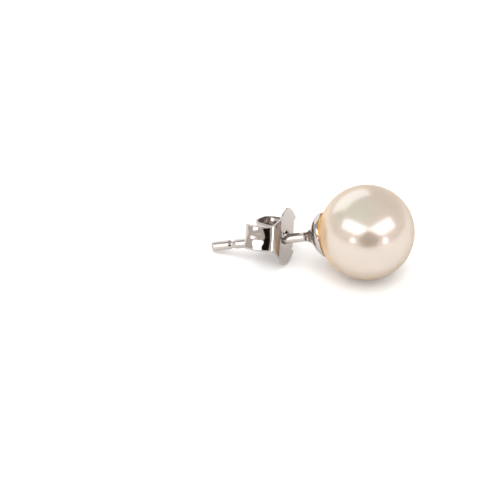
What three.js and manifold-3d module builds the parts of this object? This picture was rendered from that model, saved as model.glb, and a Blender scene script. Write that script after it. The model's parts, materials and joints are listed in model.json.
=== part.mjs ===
// A pearl ear stud with its butterfly back, lying at rest on a table.
// Millimetres, Z up, the table at Z = 0. The stud is built about its own axis, which runs
// from the pearl's centre to the tip of the post, and is then pitched until it rests on the
// pearl, on the lower lobe of the butterfly back and on that back's far scroll.

import * as THREE from 'three';
import { mergeVertices } from 'three/addons/utils/BufferGeometryUtils.js';
import Module from 'manifold-3d';

// Pearl: a ball with one blind hole, drilled a little off its centre
const PEARL_RADIUS = 4.25;
const PEARL_OFF_AXIS = 0.2;
const BORE_RADIUS = 0.5;
const BORE_START = 0.05;

// Setting: peg, cup, soldered cone and post in one turned piece; places along the axis
// are measured from the pearl's centre
const PEG_RADIUS = 0.42;
const PEG_START = 1.0;
const PEG_CHAMFER = 0.1;
const CUP_RADIUS = 2.0;
const CUP_RIM_AT = 3.97;
const CUP_RIM_HEIGHT = 0.18;
const CUP_RIM_CHAMFER = 0.05;
const CUP_HOLLOW_RADIUS = 4.5;
const CUP_SHOULDER = { radius: 1.82, at: 4.57 };
const CONE_RADIUS = 0.78;
const CONE_START = 4.95;
const CONE_WAIST = { radius: 0.52, at: 5.34 };
const CONE_END = 5.6;
const POST_RADIUS = 0.43;
const POST_END = 14.55;
const GROOVE_FROM_TIP = 2.02;
const GROOVE_WIDTH = 0.6;
const GROOVE_DEPTH = 0.09;

// Adhesive that shows as a thin ring between the cup's rim and the pearl
const GLUE_GAP = 0.03;
const GLUE_START = 3.4;
const GLUE_INNER_RADIUS = 1.45;
const GLUE_OUTER_RADIUS = 1.99;

// Butterfly back: a cross of sheet, its two arms rolled into scrolls behind the plate
const SHEET = 0.18;
const HOLE_RADIUS = 0.63;
const LOBE_REACH = 2.68;
const LOBE_CORNER = { across: 2, up: 1.46 };
const LOBE_FULLNESS = 0.7;
const ARM_WIDTH = 2.28;
const ARM_ROOT = 0.85;
const PLATE_FLAT = 1.24;
const NOTCH_ACROSS = 1.5;
const OUTER_BEND_RADIUS = 1.55;
const BACK_BEND_RADIUS = 1.2;
const BACK_BEND_DEGREES = 128;
const FREE_END = { across: 0.76, back: 0.62 };
const NEAR_STRETCH = 0.12;
const FAR_STRETCH = 0.62;

// Where the back sits on the post, and how its loose hole lets it lean there
const BACK_AT = 7.55;
const BACK_ROLL = 26.5;
const BACK_LEAN = 12.5;
const BACK_SKEW = 6;
const BACK_RIDES_UP = 0.11;

// Rest on the table
const REST_PITCH = 15.6;

const RADIANS = Math.PI / 180;
const ROUND_STEPS = 48;

const wasm = await Module();
wasm.setup();

function toSolid(geometry) {
  const bare = geometry.clone();
  bare.deleteAttribute('normal');
  bare.deleteAttribute('uv');
  const merged = mergeVertices(bare, 1e-5);
  return new wasm.Manifold(new wasm.Mesh({
    numProp: 3,
    vertProperties: new Float32Array(merged.attributes.position.array),
    triVerts: new Uint32Array(merged.index.array),
  }));
}

function toGeometry(solid) {
  const mesh = solid.getMesh();
  const geometry = new THREE.BufferGeometry();
  geometry.setAttribute('position', new THREE.BufferAttribute(mesh.vertProperties, 3));
  geometry.setIndex(new THREE.BufferAttribute(mesh.triVerts, 1));
  geometry.computeVertexNormals();
  return geometry;
}

// Turns a lathe about the Y axis, where Y is the distance behind the pearl's centre, so
// that the distance runs along -X as the post does
function turned(profile, steps = ROUND_STEPS) {
  const points = profile.map(([radius, at]) => new THREE.Vector2(radius, at));
  return new THREE.LatheGeometry(points, steps).rotateZ(Math.PI / 2);
}

// Points of an arc from one angle to another, in degrees
function arc(centre, radius, from, to, steps) {
  return Array.from({ length: steps + 1 }, (_, i) => {
    const angle = (from + ((to - from) * i) / steps) * RADIANS;
    return [centre[0] + radius * Math.cos(angle), centre[1] + radius * Math.sin(angle)];
  });
}

// Points of a quadratic curve
function bend(from, control, to, steps) {
  const [a, b, c] = [from, control, to].map(([radius, at]) => new THREE.Vector2(radius, at));
  return new THREE.QuadraticBezierCurve(a, b, c).getPoints(steps).map(({ x, y }) => [x, y]);
}

// A ball whose poles stand upright once the stud is pitched, less the drilled hole
function pearlGeometry() {
  const ball = new THREE.SphereGeometry(PEARL_RADIUS, ROUND_STEPS, 32);
  ball.rotateX(Math.PI / 2).rotateY(REST_PITCH * RADIANS).translate(0, 0, -PEARL_OFF_AXIS);
  const boreEnd = PEARL_RADIUS * 1.2;
  const bore = new THREE.CylinderGeometry(BORE_RADIUS, BORE_RADIUS, boreEnd - BORE_START, 32);
  bore.rotateZ(Math.PI / 2).translate(-(boreEnd + BORE_START) / 2, 0, 0);
  return toGeometry(toSolid(ball).subtract(toSolid(bore)));
}

// Height of the cup's hollow face behind the pearl's centre, at a radius from the axis
function hollowAt(radius) {
  const rimDrop = Math.sqrt(CUP_HOLLOW_RADIUS ** 2 - CUP_RADIUS ** 2);
  return CUP_RIM_AT - rimDrop + Math.sqrt(CUP_HOLLOW_RADIUS ** 2 - radius ** 2);
}

// Points of the hollow face from one radius to another, moved along the axis
function hollowFace(fromRadius, toRadius, shift) {
  const steps = 4;
  return Array.from({ length: steps + 1 }, (_, i) => {
    const radius = fromRadius + ((toRadius - fromRadius) * i) / steps;
    return [radius, hollowAt(radius) + shift];
  });
}

// One profile from the peg's end to the post's tip: the hollow, the rim, the back of the
// dish, the cone, and the post with its groove
function settingGeometry() {
  const hollow = hollowFace(PEG_RADIUS, CUP_RADIUS - CUP_RIM_CHAMFER, 0);
  const rimBack = [CUP_RADIUS, CUP_RIM_AT + CUP_RIM_HEIGHT];
  const coneFoot = [CONE_RADIUS, CONE_START];
  const shoulder = [CUP_SHOULDER.radius, CUP_SHOULDER.at];
  const waist = [CONE_WAIST.radius, CONE_WAIST.at];
  const outside = [
    [CUP_RADIUS, CUP_RIM_AT + CUP_RIM_CHAMFER],
    ...bend(rimBack, shoulder, coneFoot, 6),
    ...bend(coneFoot, waist, [POST_RADIUS, CONE_END], 4).slice(1),
  ];
  const grooveAt = POST_END - GROOVE_FROM_TIP;
  const floor = POST_RADIUS - GROOVE_DEPTH;
  const groove = [
    [POST_RADIUS, grooveAt - GROOVE_WIDTH / 2],
    [floor, grooveAt - GROOVE_WIDTH / 4],
    [floor, grooveAt + GROOVE_WIDTH / 4],
    [POST_RADIUS, grooveAt + GROOVE_WIDTH / 2],
  ];
  const tip = arc([0, POST_END - POST_RADIUS], POST_RADIUS, 0, 90, 6);
  const peg = [
    [0, PEG_START],
    [PEG_RADIUS - PEG_CHAMFER, PEG_START],
    [PEG_RADIUS, PEG_START + PEG_CHAMFER],
  ];
  return turned([...peg, ...hollow, ...outside, ...groove, ...tip.slice(0, -1), [0, POST_END]]);
}

// A ring between the cup's hollow and the pearl, trimmed by a ball a hair larger than it
function glueGeometry() {
  const ring = turned([
    [GLUE_INNER_RADIUS, GLUE_START],
    [GLUE_OUTER_RADIUS, GLUE_START],
    [GLUE_OUTER_RADIUS, CUP_RIM_AT - GLUE_GAP],
    ...hollowFace(GLUE_OUTER_RADIUS - CUP_RIM_CHAMFER, GLUE_INNER_RADIUS, -GLUE_GAP),
    [GLUE_INNER_RADIUS, GLUE_START],
  ]);
  const ball = new THREE.SphereGeometry(PEARL_RADIUS + GLUE_GAP, ROUND_STEPS * 2, 64);
  ball.rotateX(Math.PI / 2).translate(0, 0, -PEARL_OFF_AXIS);
  return toGeometry(toSolid(ring).subtract(toSolid(ball)));
}

// Outline of the plate: two rounded lobes, with a corner on each side of either arm
function plateOutline() {
  const { across, up } = LOBE_CORNER;
  const armHalf = ARM_WIDTH / 2;
  const outline = new THREE.Shape();
  outline.moveTo(NOTCH_ACROSS, -armHalf);
  outline.lineTo(NOTCH_ACROSS, armHalf);
  outline.lineTo(across, up);
  outline.quadraticCurveTo(LOBE_FULLNESS, LOBE_REACH, 0, LOBE_REACH);
  outline.quadraticCurveTo(-LOBE_FULLNESS, LOBE_REACH, -across, up);
  outline.lineTo(-NOTCH_ACROSS, armHalf);
  outline.lineTo(-NOTCH_ACROSS, -armHalf);
  outline.lineTo(-across, -up);
  outline.quadraticCurveTo(-LOBE_FULLNESS, -LOBE_REACH, 0, -LOBE_REACH);
  outline.quadraticCurveTo(LOBE_FULLNESS, -LOBE_REACH, across, -up);
  outline.lineTo(NOTCH_ACROSS, -armHalf);
  outline.holes.push(new THREE.Path().absarc(0, 0, HOLE_RADIUS, 0, 2 * Math.PI, true));
  return outline;
}

// Middle line of one arm in the plane across the plate: flat on the plate, round the
// outer bend, straight back for its stretch, round the tighter back bend, then straight
// down to its free end by the post
function armLine(stretch) {
  const outerCentre = [PLATE_FLAT, SHEET / 2 + OUTER_BEND_RADIUS];
  const outer = arc(outerCentre, OUTER_BEND_RADIUS, -90, 0, 10);
  const backCentre = [PLATE_FLAT + OUTER_BEND_RADIUS - BACK_BEND_RADIUS, outerCentre[1] + stretch];
  const back = arc(backCentre, BACK_BEND_RADIUS, 0, BACK_BEND_DEGREES, 14);
  return [[ARM_ROOT, SHEET / 2], ...outer, ...back, [FREE_END.across, FREE_END.back]];
}

// The arm's section: its middle line given the sheet's thickness, by offsetting each point
// square to the line through its neighbours
function armSection(side) {
  const stretch = side > 0 ? NEAR_STRETCH : FAR_STRETCH;
  const line = armLine(stretch).map(([across, back]) => new THREE.Vector2(across * side, back));
  const edge = (sign) => line.map((point, i) => {
    const before = line[Math.max(i - 1, 0)];
    const after = line[Math.min(i + 1, line.length - 1)];
    const along = after.clone().sub(before).normalize();
    return point.clone().add(new THREE.Vector2(-along.y, along.x).multiplyScalar((sign * SHEET) / 2));
  });
  return new THREE.Shape([...edge(-side), ...edge(side).reverse()]);
}

function backGeometry() {
  const flat = { bevelEnabled: false, curveSegments: 10 };
  const plate = new THREE.ExtrudeGeometry(plateOutline(), { ...flat, depth: SHEET });
  let solid = toSolid(plate);
  for (const side of [-1, 1]) {
    const arm = new THREE.ExtrudeGeometry(armSection(side), { ...flat, depth: ARM_WIDTH });
    arm.rotateX(Math.PI / 2).translate(0, ARM_WIDTH / 2, 0);
    solid = solid.add(toSolid(arm));
  }
  return toGeometry(solid);
}

const metal = new THREE.MeshStandardMaterial({ color: 0xd9d6d2, roughness: 0.12, metalness: 1 });
const nacre = new THREE.MeshStandardMaterial({ color: 0xeadfd2, roughness: 0.22, metalness: 0 });
const amber = new THREE.MeshStandardMaterial({ color: 0xb9822f, roughness: 0.35, metalness: 0 });

function piece(name, geometry, material) {
  const mesh = new THREE.Mesh(geometry, material);
  mesh.name = name;
  return mesh;
}

// The back's own axes are X across the arms, Y up the lobes and Z away from the ear: they
// are laid onto the stud's -Y, +Z and -X, after the lean and skew that its hole allows
const butterflyBack = piece('butterfly_back', backGeometry(), metal);
butterflyBack.rotation.set(-BACK_LEAN * RADIANS, -BACK_SKEW * RADIANS, 0);
butterflyBack.position.z = -SHEET / 2;
const laidOn = new THREE.Matrix4().makeBasis(
  new THREE.Vector3(0, -1, 0),
  new THREE.Vector3(0, 0, 1),
  new THREE.Vector3(-1, 0, 0),
);
const backAxes = new THREE.Group();
backAxes.quaternion.setFromRotationMatrix(laidOn);
backAxes.position.z = BACK_RIDES_UP;
backAxes.add(butterflyBack);
const backOnPost = new THREE.Group();
backOnPost.rotation.x = -BACK_ROLL * RADIANS;
backOnPost.position.x = -BACK_AT;
backOnPost.add(backAxes);

const stud = new THREE.Group();
stud.rotation.y = -REST_PITCH * RADIANS;
stud.add(
  piece('pearl', pearlGeometry(), nacre),
  piece('glue_seam', glueGeometry(), amber),
  piece('setting', settingGeometry(), metal),
  backOnPost,
);

// Stand the stud on the table with the middle of its box over the origin
const group = new THREE.Group();
group.add(stud);
const box = new THREE.Box3().setFromObject(group, true);
stud.position.set(-(box.min.x + box.max.x) / 2, -(box.min.y + box.max.y) / 2, -box.min.z);

export default group;
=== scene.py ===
# A pearl ear stud lying at rest with its scroll back on the post, photographed close on a white table
import json
import math

import bpy
import numpy as np
from mathutils import Matrix, Vector


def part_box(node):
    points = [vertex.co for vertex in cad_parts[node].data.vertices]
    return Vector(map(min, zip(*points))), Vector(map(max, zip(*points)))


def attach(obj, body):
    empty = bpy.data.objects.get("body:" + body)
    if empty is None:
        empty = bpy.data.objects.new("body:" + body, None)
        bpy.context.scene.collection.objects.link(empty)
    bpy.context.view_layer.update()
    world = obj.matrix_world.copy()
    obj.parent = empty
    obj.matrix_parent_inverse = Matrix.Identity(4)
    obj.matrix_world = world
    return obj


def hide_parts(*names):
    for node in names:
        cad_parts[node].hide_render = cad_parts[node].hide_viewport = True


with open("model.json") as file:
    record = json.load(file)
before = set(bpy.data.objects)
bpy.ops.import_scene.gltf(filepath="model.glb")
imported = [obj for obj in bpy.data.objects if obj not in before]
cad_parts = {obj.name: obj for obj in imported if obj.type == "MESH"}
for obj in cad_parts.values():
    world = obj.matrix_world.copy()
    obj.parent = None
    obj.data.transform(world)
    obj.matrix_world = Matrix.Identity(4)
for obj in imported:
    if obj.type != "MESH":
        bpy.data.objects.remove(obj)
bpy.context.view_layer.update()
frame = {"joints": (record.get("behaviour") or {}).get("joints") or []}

# The camera: a long lens a third of the way up, a little to the right of square on to the
# post. The photograph shows 11.3 px to the millimetre, with the pearl right of its middle
CAMERA_AZIMUTH = math.radians(12.3)
CAMERA_ELEVATION = math.radians(36)
LENS_MM = 400
SENSOR_MM = 36
PHOTO_PX = 480
PX_PER_METRE = 11300
PEARL_PX = (366.9, 232.3)

pearl_low, pearl_high = (np.array(corner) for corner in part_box("pearl"))
PEARL_RADIUS = float(pearl_high[2] - pearl_low[2]) / 2
PEARL_CENTRE = (pearl_low + pearl_high) / 2

towards_camera = Vector((
    math.sin(CAMERA_AZIMUTH) * math.cos(CAMERA_ELEVATION),
    -math.cos(CAMERA_AZIMUTH) * math.cos(CAMERA_ELEVATION),
    math.sin(CAMERA_ELEVATION),
))
rightward = Vector((math.cos(CAMERA_AZIMUTH), math.sin(CAMERA_AZIMUTH), 0))
upward = towards_camera.cross(rightward)
aim = (
    Vector(PEARL_CENTRE)
    + rightward * (PHOTO_PX / 2 - PEARL_PX[0]) / PX_PER_METRE
    - upward * (PHOTO_PX / 2 - PEARL_PX[1]) / PX_PER_METRE
)
frame_width = PHOTO_PX / PX_PER_METRE
camera = bpy.data.objects.new("camera", bpy.data.cameras.new("camera"))
camera.data.lens = LENS_MM
camera.data.sensor_width = SENSOR_MM
camera.data.clip_start = 0.01
camera.location = aim + towards_camera * frame_width * LENS_MM / SENSOR_MM
camera.rotation_euler = towards_camera.to_track_quat("Z", "Y").to_euler()
bpy.context.scene.collection.objects.link(camera)
bpy.context.scene.camera = camera


# The table: a plain white board, large enough to fill every view, slightly uneven in its
# paint. The shader maths of every finish in this file is written with the Socket class
TABLE_HALF_WIDTH = 1.5
TABLE_WHITE = (0.88, 0.88, 0.88, 1)
TABLE_WARM_WHITE = (0.885, 0.883, 0.88, 1)
PAINT_PATCH = 0.4


class Socket:
    """One output of a node. Arithmetic on it adds Math nodes, and add() adds any other node."""

    def __init__(self, tree, output=None):
        self.tree = tree
        self.output = output

    def add(self, kind, settings=None, inputs=None, output=0):
        """Adds a node of a kind, sets it, then fills or links its inputs by name or number."""
        node = self.tree.nodes.new(kind)
        for name, value in (settings or {}).items():
            setattr(node, name, value)
        for name, value in (inputs or {}).items():
            if isinstance(value, Socket):
                self.tree.links.new(value.output, node.inputs[name])
            else:
                node.inputs[name].default_value = value
        return Socket(self.tree, node.outputs[output]) if node.outputs else None

    def maths(self, operation, *values):
        return self.add("ShaderNodeMath", {"operation": operation}, dict(enumerate(values)))

    def __add__(self, other):
        return self.maths("ADD", self, other)

    def __sub__(self, other):
        return self.maths("SUBTRACT", self, other)

    def __rsub__(self, other):
        return self.maths("SUBTRACT", other, self)

    def __mul__(self, other):
        return self.maths("MULTIPLY", self, other)

    def smooth(self, low, high):
        """Runs smoothly from 0 where this value is low to 1 where it is high."""
        settings = {"interpolation_type": "SMOOTHSTEP"}
        inputs = {"Value": self, "From Min": low, "From Max": high, "To Min": 0, "To Max": 1}
        return self.add("ShaderNodeMapRange", settings, inputs)

    __radd__ = __add__
    __rmul__ = __mul__


def new_finish(name):
    """An empty material, and the handle that its nodes are added with."""
    material = bpy.data.materials.new(name)
    material.use_nodes = True
    material.node_tree.nodes.clear()
    return material, Socket(material.node_tree)


def mixed(mask, low, high):
    """A colour that runs from low where the mask is 0 to high where it is 1."""
    return mask.add("ShaderNodeMix", {"data_type": "RGBA"}, {0: mask, 6: low, 7: high}, output=2)


def noise(finish, size, detail=2, seed=0.0):
    """Cloudy values from 0 to 1 on the piece's own coordinates, with clouds of a size in metres."""
    where = finish.add("ShaderNodeTexCoord", output="Object")
    inputs = {"Vector": where, "W": seed, "Scale": 1 / size, "Detail": detail, "Roughness": 0.5}
    return finish.add("ShaderNodeTexNoise", {"noise_dimensions": "4D"}, inputs)


def bumped(height, depth):
    """The surface normal with a height laid on it, where 1 stands a depth in metres proud."""
    return height.add("ShaderNodeBump", None, {"Height": height, "Distance": depth, "Strength": 1})


def shaded(finish, sockets):
    """The material's one Principled shader, with its sockets filled, on its output."""
    shader = finish.add("ShaderNodeBsdfPrincipled", None, sockets)
    finish.add("ShaderNodeOutputMaterial", None, {"Surface": shader})


def surface_object(name, points, closed_along, closed_round, material):
    """A mesh from a grid of points in metres, each cell one quad, joined up where it is closed."""
    rows, columns = points.shape[:2]
    row = np.arange(rows if closed_along else rows - 1)
    column = np.arange(columns if closed_round else columns - 1)
    a, b = (grid.ravel() for grid in np.meshgrid(row, column, indexing="ij"))
    this_row, next_row = a * columns, (a + 1) % rows * columns
    next_b = (b + 1) % columns
    corners = np.stack([this_row + b, next_row + b, next_row + next_b, this_row + next_b], 1)
    mesh = bpy.data.meshes.new(name)
    mesh.from_pydata(points.reshape(-1, 3).tolist(), [], corners.tolist())
    mesh.shade_smooth()
    mesh.materials.append(material)
    piece = bpy.data.objects.new(name, mesh)
    bpy.context.scene.collection.objects.link(piece)
    return piece


board, finish = new_finish("white_board")
shaded(finish, {
    "Base Color": mixed(noise(finish, PAINT_PATCH), TABLE_WHITE, TABLE_WARM_WHITE),
    "Roughness": 0.75,
    "Specular IOR Level": 0.2,
})
edge = np.linspace(-TABLE_HALF_WIDTH, TABLE_HALF_WIDTH, 9)
board_x, board_y = np.meshgrid(edge, edge, indexing="ij")
board_grid = np.stack([board_x, board_y, np.zeros_like(board_x)], 2)
table = surface_object("table", board_grid, False, False, board)


# The studio: panels overhead and all round that light the table but leave no reflection, soft
# boxes and two small lamps that show only as reflections, and a dark screen between them. Grey
# walls stand behind, with a sweep whose top edge bows over the pearl. Azimuths and elevations
# are in degrees, measured as the camera's are, and distances in metres
ROOM_TOP = (0.70, 0.72, 0.73, 1)
ROOM_FOOT = (0.86, 0.82, 0.775, 1)
ROOM_FADES = (0.25, 0.65)
SWEEP_TOP = (0.65, 0.65, 0.65, 1)
SWEEP_FOOT = (0.90, 0.88, 0.86, 1)
SWEEP_FADES = (0.1, 0.6)
SWEEP_FACES = (-0.311, 0.928, -0.204)
SWEEP_EDGE = 0.209
SWEEP_EDGE_BLUR = 0.012
PANELS = [
    {"name": "top_panel", "azimuth": 12, "elevation": 82, "wide": 66, "high": 66, "glow": 2.0},
    {"name": "front_panel", "azimuth": 10, "elevation": 28, "wide": 86, "high": 44, "glow": 0.7},
    {"name": "right_panel", "azimuth": 100, "elevation": 28, "wide": 86, "high": 44, "glow": 0.42},
    {"name": "rear_panel", "azimuth": 190, "elevation": 28, "wide": 86, "high": 44, "glow": 0.5},
    {"name": "left_panel", "azimuth": 280, "elevation": 28, "wide": 86, "high": 44, "glow": 0.8},
]
SOFT_BOXES = [
    {"name": "left_box", "azimuth": -24, "elevation": 40, "wide": 70, "high": 24, "glow": 2.6},
    {"name": "right_box", "azimuth": 56, "elevation": 37, "wide": 70, "high": 27, "glow": 2.6},
    {"name": "rear_box", "azimuth": -138, "elevation": 30, "wide": 56, "high": 40, "glow": 1.15},
    {"name": "left_lamp", "azimuth": -23, "elevation": 11, "wide": 8, "high": 8, "glow": 7},
    {"name": "right_lamp", "azimuth": 56, "elevation": 8, "wide": 7, "high": 10, "glow": 7},
]
PANEL_COLOUR = (1, 0.95, 0.89)
BOX_COLOUR = (1, 0.93, 0.96)
OWN_COLOURS = {"top_panel": (1, 0.99, 0.98), "rear_box": (0.94, 0.97, 1)}
PANEL_DISTANCE = 0.7
BOX_DISTANCE = 1.2
SCREEN_DISTANCE = 0.96
SCREEN_AZIMUTH = 16
SCREEN_ELEVATION = 25
SCREEN_OUTLINE = [(-12, 0), (-29, 22), (-17, 33), (0, 42), (17, 33), (31, 22), (14, 0)]
SCREEN_BLACK = (0.01, 0.008, 0.006, 1)


def heading(azimuth, elevation):
    """The direction towards a place in the studio, from its azimuth and elevation in degrees."""
    turn, lift = math.radians(azimuth), math.radians(elevation)
    level = math.cos(lift)
    return Vector((math.sin(turn) * level, -math.cos(turn) * level, math.sin(lift)))


def place_light(place, colour, distance, on_gloss):
    """A rectangular soft light that faces the object, as wide and high in degrees as its place
    says. It shows in the object's gloss, or else it lights it."""
    light = bpy.data.lights.new(place["name"], "AREA")
    light.shape = "RECTANGLE"
    light.size = 2 * distance * math.tan(math.radians(place["wide"] / 2))
    light.size_y = 2 * distance * math.tan(math.radians(place["high"] / 2))
    light.energy = place["glow"] * math.pi * light.size * light.size_y
    light.color = colour
    lamp = bpy.data.objects.new(place["name"], light)
    direction = heading(place["azimuth"], place["elevation"])
    lamp.location = direction * distance
    lamp.rotation_euler = direction.to_track_quat("Z", "Y").to_euler()
    lamp.visible_camera = False
    lamp.visible_glossy = on_gloss
    lamp.visible_diffuse = not on_gloss
    bpy.context.scene.collection.objects.link(lamp)


for panel in PANELS:
    place_light(panel, OWN_COLOURS.get(panel["name"], PANEL_COLOUR), PANEL_DISTANCE, False)
for box in SOFT_BOXES:
    place_light(box, OWN_COLOURS.get(box["name"], BOX_COLOUR), BOX_DISTANCE, True)

dark, finish = new_finish("dark_screen")
shaded(finish, {"Base Color": SCREEN_BLACK, "Roughness": 1, "Specular IOR Level": 0})
middle = heading(SCREEN_AZIMUTH, SCREEN_ELEVATION)
outline = [heading(SCREEN_AZIMUTH + turn, lift) for turn, lift in SCREEN_OUTLINE]
screen_corners = [point * (SCREEN_DISTANCE / point.dot(middle)) for point in outline]
screen_mesh = bpy.data.meshes.new("screen")
screen_mesh.from_pydata(screen_corners, [], [tuple(range(len(screen_corners)))])
screen_mesh.materials.append(dark)
screen = bpy.data.objects.new("screen", screen_mesh)
screen.visible_camera = False
screen.visible_diffuse = False
bpy.context.scene.collection.objects.link(screen)

world = bpy.data.worlds.new("walls")
world.use_nodes = True
world.node_tree.nodes.clear()
bpy.context.scene.world = world
walls = Socket(world.node_tree)
outward = walls.add("ShaderNodeTexCoord", output="Generated")
height = walls.add("ShaderNodeSeparateXYZ", None, {"Vector": outward}, output="Z")
inputs = {0: outward, 1: SWEEP_FACES}
rearward = walls.add("ShaderNodeVectorMath", {"operation": "DOT_PRODUCT"}, inputs, output="Value")
room = mixed(height.smooth(*ROOM_FADES), ROOM_FOOT, ROOM_TOP)
sweep = mixed(height.smooth(*SWEEP_FADES), SWEEP_FOOT, SWEEP_TOP)
on_sweep = rearward.smooth(SWEEP_EDGE - SWEEP_EDGE_BLUR, SWEEP_EDGE + SWEEP_EDGE_BLUR)
inputs = {"Color": mixed(on_sweep, room, sweep), "Strength": 1}
walls.add("ShaderNodeOutputWorld", None, {"Surface": walls.add("ShaderNodeBackground", None, inputs)})
bpy.context.scene.view_settings.view_transform = "Standard"
bpy.context.scene.cycles.use_denoising = True


# The pearl: a cultured ball of nacre, half drilled for the peg. It is glossy under a soft
# inner glow, a little out of round, and cream with faint rose in places. A greenish sheen is
# painted on its upper front as a painted reflection, and an amber band is painted round its
# hole as painted light, brighter where the cup's shade falls. Measures are in metres
PEARL_OFF_AXIS = 0.0002
PEARL_SWELL = 0.0008
PEARL_WAVES = [(3.1, 1.2, -0.6), (-1.4, 3.6, 1.1), (0.8, -2.1, 4.4), (5.2, 2.7, 3.3)]
BORE_RADIUS = 0.0005
BORE_DEPTH = 0.0042
CREAM_DEEP = (0.355, 0.26, 0.172, 1)
CREAM_PALE = (0.38, 0.288, 0.20, 1)
ROSE_TINT = (0.365, 0.276, 0.20, 1)
# Painted reflection: a greenish sheen laid on the pearl's upper front, towards the way below
PAINTED_GREEN_SHEEN = (0.335, 0.288, 0.20, 1)
PAINTED_SHEEN_WAY = (-0.209, -0.497, 0.840)
PAINTED_SHEEN_REACH = (0.0034, 0.0043)
# Painted light: an amber band round the hole, brighter than the cup's shade would leave it
AMBER_PAINTED_LIGHT = (0.62, 0.41, 0.22, 1)
AMBER_PAINTED_LIGHT_REACH = (0.0020, 0.0036)

post_way = np.array(frame["joints"][0]["axis"], float)
stud_axes = np.stack([-post_way, (0, 1, 0), np.cross(-post_way, (0, 1, 0))], 1)
stud_origin = PEARL_CENTRE + stud_axes[:, 2] * PEARL_OFF_AXIS


def stud_place(points):
    """Points from the stud's own axes, X from post to pearl and Z upward, to the table's."""
    return points @ stud_axes.T + stud_origin


def pearl_surface(along=160, round_steps=192):
    """Rings about the drilled pole: up the bore's wall, over its lip, then round the ball to
    the far pole. The ball's radius swells and sinks by a few slow waves of its direction."""
    depths = np.array([1, 1, 0.5, 0]) * BORE_DEPTH
    bored = len(depths)
    lip = math.asin(BORE_RADIUS / PEARL_RADIUS)
    polar = np.concatenate([np.full(bored, lip), np.linspace(lip, math.pi, along)])
    turn = np.linspace(0, 2 * math.pi, round_steps, endpoint=False)
    polar, turn = np.meshgrid(polar, turn, indexing="ij")
    sideways = np.sin(polar)
    direction = np.stack([-np.cos(polar), sideways * np.cos(turn), sideways * np.sin(turn)], 2)
    tilt = math.asin(PEARL_OFF_AXIS / PEARL_RADIUS)
    tilt_cos, tilt_sin = math.cos(tilt), math.sin(tilt)
    direction = direction @ np.array([[tilt_cos, 0, -tilt_sin], [0, 1, 0], [tilt_sin, 0, tilt_cos]])
    waves = direction @ np.array(PEARL_WAVES).T + np.arange(len(PEARL_WAVES))
    swell = np.sin(waves).sum(2) * PEARL_SWELL
    ball = direction * (PEARL_RADIUS * (1 + swell - swell.max()))[..., None]
    ball[..., 2] -= PEARL_OFF_AXIS
    ball[:bored, :, 0] += depths[:, None]
    ball[0, :, 1:] = 0
    return stud_place(ball)


def reach_along(finish, way):
    """How far each point lies from the pearl's centre along a way, in metres."""
    where = finish.add("ShaderNodeTexCoord", output="Object")
    inputs = {0: where, 1: PEARL_CENTRE}
    from_centre = finish.add("ShaderNodeVectorMath", {"operation": "SUBTRACT"}, inputs)
    inputs = {0: from_centre, 1: way}
    return finish.add("ShaderNodeVectorMath", {"operation": "DOT_PRODUCT"}, inputs, output="Value")


nacre, finish = new_finish("nacre")
clouds = noise(finish, 0.0035, detail=3)
patches = noise(finish, 0.006, detail=1, seed=4.0)
grain = noise(finish, 0.00025, detail=4)
cream = mixed(clouds.smooth(0.3, 0.7), CREAM_DEEP, CREAM_PALE)
rosy = mixed(patches.smooth(0.45, 0.7), cream, ROSE_TINT)
# Painted reflection: a greenish sheen on the side of the pearl that faces up and forward
with_painted_sheen = mixed(reach_along(finish, PAINTED_SHEEN_WAY).smooth(*PAINTED_SHEEN_REACH), rosy, PAINTED_GREEN_SHEEN)
# Painted light: amber laid round the hole, brightening the shade that the cup casts there
amber_painted_light = reach_along(finish, post_way).smooth(*AMBER_PAINTED_LIGHT_REACH) * (0.45 + 0.6 * clouds)
limb = finish.add("ShaderNodeLayerWeight", None, {"Blend": 0.5}, output="Facing").smooth(0.35, 0.9)
# The coat is the pearl's gloss: it thins towards the limb and over the amber painted light by the cup
shaded(finish, {
    "Base Color": mixed(amber_painted_light, with_painted_sheen, AMBER_PAINTED_LIGHT),
    "Roughness": 0.44 + 0.08 * clouds,
    "IOR": 1.6,
    "Subsurface Weight": 0.3,
    "Subsurface Radius": (1.0, 0.7, 0.45),
    "Subsurface Scale": 0.0006,
    "Coat Weight": (1 - 0.92 * limb) * (1 - 0.85 * amber_painted_light),
    "Coat Roughness": 0.22,
    "Coat IOR": 3.25,
    "Normal": bumped(grain, 0.0000015),
})
pearl = surface_object("pearl_ball", pearl_surface(), False, True, nacre)
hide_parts("pearl")
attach(pearl, "stud")


# The setting: peg, dished cup, soldered cone and round post, all of polished white metal,
# turned and soldered into one piece. A groove near the tip stops the back from slipping off.
# Measures are in millimetres, and places along the axis are counted from the pearl's centre
MILLIMETRE = 0.001
EASE = 0.05
PEG_RADIUS = 0.42
PEG_START = 1.0
CUP_RADIUS = 2.0
CUP_RIM_AT = 3.84
CUP_RIM_HEIGHT = 0.18
CUP_BACK_AT = CUP_RIM_AT + CUP_RIM_HEIGHT
CUP_HOLLOW_RADIUS = 4.5
CUP_SHOULDER = (1.82, 4.57)
CUP_UNEVEN = 0.12
CUP_FLATTER = 0.05
CONE_RADIUS = 0.78
CONE_START = 4.95
CONE_WAIST = (0.52, 5.34)
CONE_END = 5.6
POST_RADIUS = 0.43
POST_END = 14.55
GROOVE_FROM_TIP = 2.02
GROOVE_WIDTH = 0.6
GROOVE_FLOOR_WIDTH = 0.2
GROOVE_DEPTH = 0.09
SOLDER_STARTS = (4.9, 5.0)
SOLDER_ENDS = (5.5, 5.8)
LUMP_SIZE = 0.35
LUMP_HEIGHT = 25
METAL_DULL = (0.435, 0.394, 0.369, 1)
METAL_BRIGHT = (0.48, 0.437, 0.413, 1)
METAL_WAVE_DEPTH = 0.006


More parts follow.
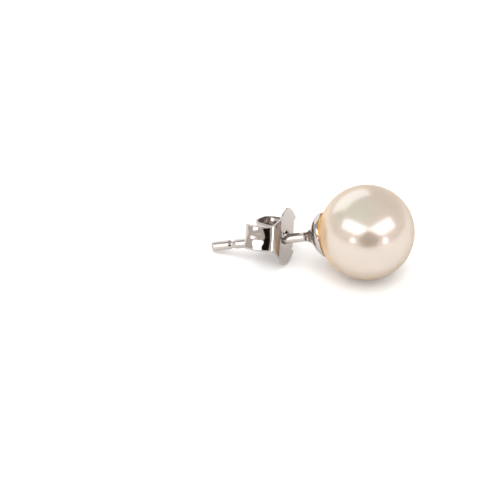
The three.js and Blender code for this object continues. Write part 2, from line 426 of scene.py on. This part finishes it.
def curve(start, control, end, steps=12):
    """Points of a quadratic curve from start to end, drawn towards its control point."""
    t = np.linspace(0, 1, steps)[:, None]
    start, control, end = (np.array(point, float) for point in (start, control, end))
    return (1 - t) ** 2 * start + 2 * t * (1 - t) * control + t ** 2 * end


def cup_hollow(radius):
    """How far behind the pearl's centre the cup's hollow face lies: a dish of one radius."""
    rim_drop = math.sqrt(CUP_HOLLOW_RADIUS ** 2 - CUP_RADIUS ** 2)
    return CUP_RIM_AT - rim_drop + np.sqrt(CUP_HOLLOW_RADIUS ** 2 - radius ** 2)


def setting_profile():
    """Radius and place along the axis, from the peg's end to the post's tip, with every rim
    and step eased by a short curve."""
    face = np.linspace(PEG_RADIUS, CUP_RADIUS - EASE, 16)
    lip_at = CUP_RIM_AT + 0.01
    groove_at = POST_END - GROOVE_FROM_TIP
    near_wall, far_wall = groove_at - GROOVE_WIDTH / 2, groove_at + GROOVE_WIDTH / 2
    near_floor, far_floor = groove_at - GROOVE_FLOOR_WIDTH / 2, groove_at + GROOVE_FLOOR_WIDTH / 2
    floor = POST_RADIUS - GROOVE_DEPTH
    return np.concatenate([
        [(0, PEG_START), (PEG_RADIUS - 0.1, PEG_START), (PEG_RADIUS, PEG_START + 0.1)],
        np.stack([face, cup_hollow(face)], 1),
        curve((CUP_RADIUS - 0.03, lip_at), (CUP_RADIUS, lip_at), (CUP_RADIUS, CUP_RIM_AT + EASE), 5),
        curve((CUP_RADIUS, CUP_BACK_AT), CUP_SHOULDER, (CONE_RADIUS + 0.12, CONE_START - 0.03), 24),
        curve(
            (CONE_RADIUS + 0.1, CONE_START),
            (CONE_RADIUS, CONE_START + 0.02),
            (CONE_RADIUS - 0.03, CONE_START + 0.08),
            6,
        ),
        curve((CONE_RADIUS - 0.05, CONE_START + 0.12), CONE_WAIST, (POST_RADIUS, CONE_END), 16),
        [(POST_RADIUS, at) for at in np.linspace(CONE_END + 0.2, groove_at - 0.5, 12)],
        curve((POST_RADIUS, near_wall - EASE), (POST_RADIUS, near_wall), (floor, near_floor)),
        curve((floor, far_floor), (POST_RADIUS, far_wall), (POST_RADIUS, far_wall + EASE)),
        [(POST_RADIUS, POST_END - 1.2), (POST_RADIUS, POST_END - 0.4)],
        curve(
            (POST_RADIUS, POST_END - 0.28),
            (POST_RADIUS, POST_END - 0.04),
            (POST_RADIUS - 0.25, POST_END - 0.02),
            10,
        ),
        [(0, POST_END)],
    ])


def turned_surface(profile, round_steps=96):
    """A profile of radius and place carried round the axis. Between the cup's rim and the
    cone the radius grows above and shrinks below, by the sine of the turn, and most midway."""
    turn = np.linspace(0, 2 * math.pi, round_steps, endpoint=False)
    radius, at = profile[:, :1], profile[:, 1:]
    share = np.clip((at - CUP_BACK_AT) / (CONE_START - CUP_BACK_AT), 0, 1)
    radius = radius + 4 * share * (1 - share) * (CUP_UNEVEN * np.sin(turn) - CUP_FLATTER)
    back = np.broadcast_to(-at, radius.shape)
    return stud_place(np.stack([back, radius * np.cos(turn), radius * np.sin(turn)], 2) * MILLIMETRE)


def solder_lumps(finish):
    """The height of the solder: a noise that is let through only along the cone."""
    along = reach_along(finish, post_way) * (1 / MILLIMETRE)
    on_cone = along.smooth(*SOLDER_STARTS) - along.smooth(*SOLDER_ENDS)
    return on_cone * noise(finish, LUMP_SIZE * MILLIMETRE, detail=1, seed=4.0) * LUMP_HEIGHT


def polished_metal(name, wave_size, seed, lumps=None):
    """White metal: mirror polish, dulled in faint clouds, and slightly wavy, with waves of a
    size in metres, on which what lumps it has are laid."""
    material, finish = new_finish(name)
    wear = noise(finish, 0.0008, detail=4, seed=seed)
    waves = noise(finish, wave_size, detail=1, seed=seed + 1)
    height = waves + lumps(finish) if lumps else waves
    shaded(finish, {
        "Base Color": mixed(wear, METAL_DULL, METAL_BRIGHT),
        "Metallic": 1,
        "Roughness": 0.06 + 0.08 * wear,
        "Normal": bumped(height, METAL_WAVE_DEPTH * MILLIMETRE),
    })
    return material


turned_metal = polished_metal("turned_metal", 0.0012, 2.0, solder_lumps)
setting = surface_object("cup_and_post", turned_surface(setting_profile()), False, True, turned_metal)
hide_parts("setting")
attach(setting, "stud")


# The glue seam: amber adhesive squeezed out between the cup's rim and the pearl, wider on
# top because the hole is drilled a little above the pearl's middle. Measures are in millimetres
GLUE_GAP = 0.004
GLUE_INNER_RADIUS = 1.45
GLUE_OUTER_RADIUS = 1.96
GLUE_SLOW_SQUEEZE = 0.04
GLUE_QUICK_SQUEEZE = 0.03
GLUE_MENISCUS = 0.05
GLUE_DEPTH_IN_CUP = 0.1
AMBER_DEEP = (0.42, 0.20, 0.035, 1)
AMBER_PALE = (0.62, 0.36, 0.09, 1)


def glue_surface(round_steps=180, section_steps=12):
    """A closed section carried round the axis: out along the pearl, over a meniscus that
    sinks and swells round the rim, and back along the cup's hollow."""
    turn = np.linspace(0, 2 * math.pi, round_steps, endpoint=False)[:, None]
    share = np.linspace(0, 1, section_steps)
    slow, quick = np.sin(3 * turn + 0.6), np.sin(7 * turn + 2.0)
    outer = GLUE_OUTER_RADIUS + GLUE_SLOW_SQUEEZE * slow + GLUE_QUICK_SQUEEZE * quick
    radius = GLUE_INNER_RADIUS + (outer - GLUE_INNER_RADIUS) * share
    off_axis = PEARL_OFF_AXIS / MILLIMETRE
    from_centre = radius ** 2 + 2 * radius * np.sin(turn) * off_axis + off_axis ** 2
    on_pearl = np.sqrt((PEARL_RADIUS / MILLIMETRE + GLUE_GAP) ** 2 - from_centre)
    in_cup = cup_hollow(np.minimum(radius, CUP_RADIUS)) - GLUE_GAP
    in_cup = np.minimum(in_cup, CUP_RIM_AT + GLUE_DEPTH_IN_CUP)
    meniscus_at = on_pearl[:, -1:] + (in_cup[:, -1:] - on_pearl[:, -1:]) * share
    meniscus = outer - GLUE_MENISCUS * 4 * share * (1 - share)
    at = np.concatenate([on_pearl, meniscus_at[:, 1:-1], in_cup[:, ::-1]], 1)
    ring = np.concatenate([radius, meniscus[:, 1:-1], radius[:, ::-1]], 1)
    return stud_place(np.stack([-at, ring * np.cos(turn), ring * np.sin(turn)], 2) * MILLIMETRE)


amber, finish = new_finish("amber_glue")
streaks = noise(finish, 0.0006, detail=3)
shaded(finish, {
    "Base Color": mixed(streaks.smooth(0.35, 0.65), AMBER_DEEP, AMBER_PALE),
    "Roughness": 0.25 + 0.2 * streaks,
    "Subsurface Weight": 0.4,
    "Subsurface Radius": (1.0, 0.5, 0.15),
    "Subsurface Scale": 0.0003,
    "Coat Weight": 0.6,
    "Coat Roughness": 0.08,
    "Normal": bumped(streaks, 0.00002),
})
glue = surface_object("glue_ring", glue_surface(), True, True, amber)
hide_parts("glue_seam")
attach(glue, "stud")


# The scroll back: a cross of thin springy sheet, stamped with a hole for the post and a
# pressed wedge beside it. Its two arms are rolled into scrolls that grip the post, the near
# one a little dented, and it hangs askew in its loose hole. Measures are in millimetres
SHEET = 0.18
SHEET_EASE = 0.05
HOLE_RADIUS = 0.63
FOLD = 1.24
LOBE_EDGE = [
    (FOLD, -2.05), (FOLD, 2.0), (1.0, 2.3), (0.5, 2.58), (0, 2.7), (-0.55, 2.58), (-1.05, 2.32),
    (-1.55, 1.9), (-1.98, 1.53), (-FOLD, 1.14), (-FOLD, -1.14), (-1.9, -1.5), (-1.5, -1.95),
    (-0.97, -2.33), (-0.4, -2.52), (0.1, -2.53), (0.6, -2.42), (1.0, -2.24),
]
LOBE_EDGE_EASE = 0.12
PLATE_LINES_BEND = (0.55, 0.95)
WEDGE = {"from": 0.6, "half_width": 0.24, "widens": 0.5, "low": -0.2, "climbs": 0.8, "out": 1.06}
WEDGE_DEPTH = 0.14
WEDGE_SLOPE = 0.13
WEDGE_FADE = 0.16
NEAR_HEADING = [
    (0, 0), (0.15, 0), (0.3, 24), (0.8, 32), (1.0, 44), (1.25, 52), (2.0, 78), (2.6, 84),
    (3.0, 90), (3.3, 105), (3.7, 176), (4.9, 182), (5.2, 195), (5.7, 262), (7.6, 268),
]
NEAR_TOP = [
    (0, 2.0), (0.3, 1.73), (0.9, 1.36), (1.5, 1.19), (2.2, 1.16), (3.4, 1.24), (5.2, 0.75), (7.6, 0.5),
]
NEAR_FOOT = [
    (0, 2.05), (0.3, 1.62), (0.6, 1.3), (0.9, 1.1), (3.2, 1.0), (3.7, 0.95), (5.2, 0.75), (7.6, 0.5),
]
FAR_HEADING = [
    (0, 0), (0.3, 10), (1.5, 60), (2.2, 84), (3.2, 92), (3.6, 110), (4.2, 174), (5.4, 184),
    (5.7, 200), (6.1, 262), (7.9, 268),
]
FAR_TOP = [(0, 1.14), (3.2, 1.2), (5.2, 1.1), (5.8, 0.95), (7.9, 0.7)]
FAR_FOOT = [(0, 1.14), (3.2, 1.14), (5.2, 0.9), (7.9, 0.7)]
HEADING_EASE = 0.14
DENT = {"along": 2.1, "up": 0.05, "reach": 0.57, "reach_on": 1.2, "depth": 0.09}
NEAR_FOOT_FLARE = {"from": 1.3, "rise": 0.7, "to": 3.1, "fall": 0.5, "low": 1.1, "depth": 0.2}
NEAR_BEND_FLARE = {"along": 3.5, "reach": 0.7, "depth": 0.16}
FAR_MOUTH_FLARE = {"along": 1.5, "foot": -0.6, "high": 1.7, "depth": 0.14}
ARM_PROUD = 0.003
ARM_ROOT = (0.104, 0.104, 0.1)
ARM_END_SIZE = 0.6
BACK_AT = 7.55
BACK_ROLL = 26.5
BACK_LEAN = 12.5
BACK_SKEW = 6
BACK_RIDES_UP = 0.11


def turn_about(axis, degrees):
    """The matrix that turns points about an axis."""
    return np.array(Matrix.Rotation(math.radians(degrees), 3, axis))


def back_place(points):
    """Points from the back's own axes, in millimetres, X across the arms, Y up the lobes and
    Z away from the ear, to the table's: leaned and skewed, laid on the post, and rolled."""
    points = points @ (turn_about("X", -BACK_LEAN) @ turn_about("Y", -BACK_SKEW)).T
    points = points - np.array([0, 0, SHEET / 2])
    laid_on = np.array([[0, 0, -1], [-1, 0, 0], [0, 1, 0]])
    points = points @ laid_on.T + np.array([0, 0, BACK_RIDES_UP])
    points = points @ turn_about("X", -BACK_ROLL).T - np.array([BACK_AT, 0, 0])
    return stud_place(points * MILLIMETRE)


def eased(at, stops, window=0.35):
    """Values read off straight lines between the stops, averaged over a short window so that
    the corners come out round."""
    around = at[:, None] + np.linspace(-window / 2, window / 2, 11)
    return np.interp(around, *zip(*stops)).mean(1)


def plate_edge(steps=420):
    """The closed edge of the plate at even steps, with its corners a little eased, and the
    angle at the hole that each of its points is joined to."""
    corners = np.array(LOBE_EDGE + LOBE_EDGE[:1])
    reach = np.concatenate([[0], np.cumsum(np.linalg.norm(np.diff(corners, axis=0), axis=1))])
    at = np.linspace(0, reach[-1], steps, endpoint=False)
    around = (at[:, None] + np.linspace(-LOBE_EDGE_EASE, LOBE_EDGE_EASE, 9)) % reach[-1]
    edge = np.stack([np.interp(around, reach, corners[:, axis]).mean(1) for axis in (0, 1)], 1)
    start = math.atan2(LOBE_EDGE[0][1], LOBE_EDGE[0][0])
    return edge, start + at / reach[-1] * 2 * math.pi


def wedge_at(across, up):
    """How far the sheet is pressed away from the ear: a wedge that starts narrow at the hole
    and widens as it climbs to the near arm's fold, where it runs out."""
    past = across - WEDGE["from"]
    off_middle = np.abs(up - WEDGE["low"] - WEDGE["climbs"] * past)
    inside = WEDGE["half_width"] + WEDGE["widens"] * past - off_middle
    pressed = np.clip(inside / WEDGE_SLOPE + 0.5, 0, 1) * (across > WEDGE["from"] / 2)
    runs_out = 1 - np.clip((across - WEDGE["out"]) / WEDGE_FADE, 0, 1)
    return WEDGE_DEPTH * pressed ** 2 * (3 - 2 * pressed) * runs_out ** 2 * (3 - 2 * runs_out)


def plate_surface():
    """Lines run from the hole to the edge, bent so that they clear the notches. Each is
    carried over the front face, round the eased edge, and back over the rear face."""
    edge, around = plate_edge()
    hole = np.stack([np.cos(around), np.sin(around)], 1)
    ahead = np.roll(edge, -1, 0) - np.roll(edge, 1, 0)
    outward = np.stack([ahead[:, 1], -ahead[:, 0]], 1) / np.linalg.norm(ahead, axis=1)[:, None]
    inner = hole * (HOLE_RADIUS + SHEET_EASE)
    outer = edge - outward * SHEET_EASE
    control = edge * PLATE_LINES_BEND
    t = np.linspace(0, 1, 60)[:, None, None]
    face = (1 - t) ** 2 * inner + 2 * t * (1 - t) * control + t ** 2 * outer
    ease = np.linspace(0, math.pi / 2, 5)[1:, None, None]
    rim = outer + outward * SHEET_EASE * np.sin(ease)
    lip = inner - hole * SHEET_EASE * np.sin(ease)
    drop = (SHEET_EASE * (1 - np.cos(ease)))[..., 0] + np.zeros(len(edge))
    front = np.zeros((len(t), len(edge)))
    flat = np.concatenate([lip[::-1], face, rim, rim[::-1], face[::-1], lip])
    depth = np.concatenate([drop[::-1], front, drop, SHEET - drop[::-1], SHEET - front, SHEET - drop])
    across, up = flat[..., 0], flat[..., 1]
    return back_place(np.stack([across, up, depth + wedge_at(across, up)], 2))


def near_shape(s, up):
    """The near scroll's dent, a round patch that fades slowly along the arm, the flare of its
    foot past the first bend, and the drawn out foot of its last bend."""
    past = s - DENT["along"]
    reach = np.where(past > 0, DENT["reach_on"], DENT["reach"])
    dent = DENT["depth"] * np.exp(-(past / reach) ** 2 - ((up - DENT["up"]) / DENT["reach"]) ** 2)
    rise = np.clip((s - NEAR_FOOT_FLARE["from"]) / NEAR_FOOT_FLARE["rise"], 0, 1)
    fall = np.clip((NEAR_FOOT_FLARE["to"] - s) / NEAR_FOOT_FLARE["fall"], 0, 1)
    foot = np.clip(-up / NEAR_FOOT_FLARE["low"], 0, 1)
    at_bend = np.exp(-((s - NEAR_BEND_FLARE["along"]) / NEAR_BEND_FLARE["reach"]) ** 2)
    flared = NEAR_FOOT_FLARE["depth"] * (rise * fall) ** 2 * foot ** 1.5
    return flared - dent, NEAR_BEND_FLARE["depth"] * at_bend * foot ** 2


def far_shape(s, up):
    """The far scroll opens like a funnel towards its top."""
    high = np.clip((up - FAR_MOUTH_FLARE["foot"]) / FAR_MOUTH_FLARE["high"], 0, 1)
    gone = np.clip(s / FAR_MOUTH_FLARE["along"], 0, 1)
    return FAR_MOUTH_FLARE["depth"] * high ** 2 * gone ** 2, 0


def arm_surface(side, headings, top, foot, shape, steps=260, face_steps=25, edge_steps=5):
    """A strip rolled along its own length. Its heading turns by the given stops, and its line
    is the running sum of that heading. A flat section with eased edges is carried square to
    the line, as high and as low as the strip is there, and drawn in to close both ends. The
    shape function gives what dents and flares add outward and away at each point."""
    s = np.linspace(0, headings[-1][0], steps)
    angle = np.radians(eased(s, headings, HEADING_EASE))
    along = np.stack([np.cos(angle), np.sin(angle)], 1)
    line = np.cumsum(along, 0) * s[1] + (FOLD - s[1], SHEET / 2)
    ends = [0, 0, 0, *range(steps), -1, -1, -1]
    line, along, s = line[ends], along[ends], s[ends]
    line[:3] -= along[:3] * np.array(ARM_ROOT)[:, None]
    line[-2:] += along[-2:] * SHEET_EASE
    size = np.ones((len(s), 1))
    size[[0, -1]] = 0
    size[-2] = ARM_END_SIZE
    square = np.stack([along[:, 1], -along[:, 0]], 1)
    rim = np.radians(np.linspace(0, 90, edge_steps))
    flat = np.zeros(face_steps)
    climb = np.linspace(-1, 1, face_steps)
    at_top = np.ones(2 * edge_steps)
    share = np.concatenate([climb, at_top, climb[::-1], -at_top])
    round_top = np.concatenate([np.sin(rim), np.sin(rim)[::-1]]) * SHEET_EASE
    over = np.concatenate([flat, round_top, flat, -round_top])
    half_arc = SHEET / 2 + ARM_PROUD - SHEET_EASE + SHEET_EASE * np.cos(rim)
    through = np.concatenate([flat + half_arc[0], half_arc, -half_arc[::-1]])
    through = np.concatenate([through, -through])
    middle = (eased(s, top) - eased(s, foot))[:, None] / 2
    half = (eased(s, top) + eased(s, foot))[:, None] / 2 - SHEET_EASE
    up = middle + (share * half + over) * size
    outward, drawn_out = shape(s[:, None], up)
    offset = through * size + outward
    across = (line[:, :1] + square[:, :1] * offset) * side
    away = line[:, 1:] + square[:, 1:] * offset + drawn_out
    return back_place(np.stack([across, up, away], 2)[:, ::side])


sheet_metal = polished_metal("sheet_metal", 0.0015, 7.0)
plate = surface_object("back_plate", plate_surface(), True, True, sheet_metal)
near_grid = arm_surface(1, NEAR_HEADING, NEAR_TOP, NEAR_FOOT, near_shape)
far_grid = arm_surface(-1, FAR_HEADING, FAR_TOP, FAR_FOOT, far_shape)
near_arm = surface_object("near_scroll", near_grid, False, True, sheet_metal)
far_arm = surface_object("far_scroll", far_grid, False, True, sheet_metal)
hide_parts("butterfly_back")
for part in (plate, near_arm, far_arm):
    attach(part, "back")
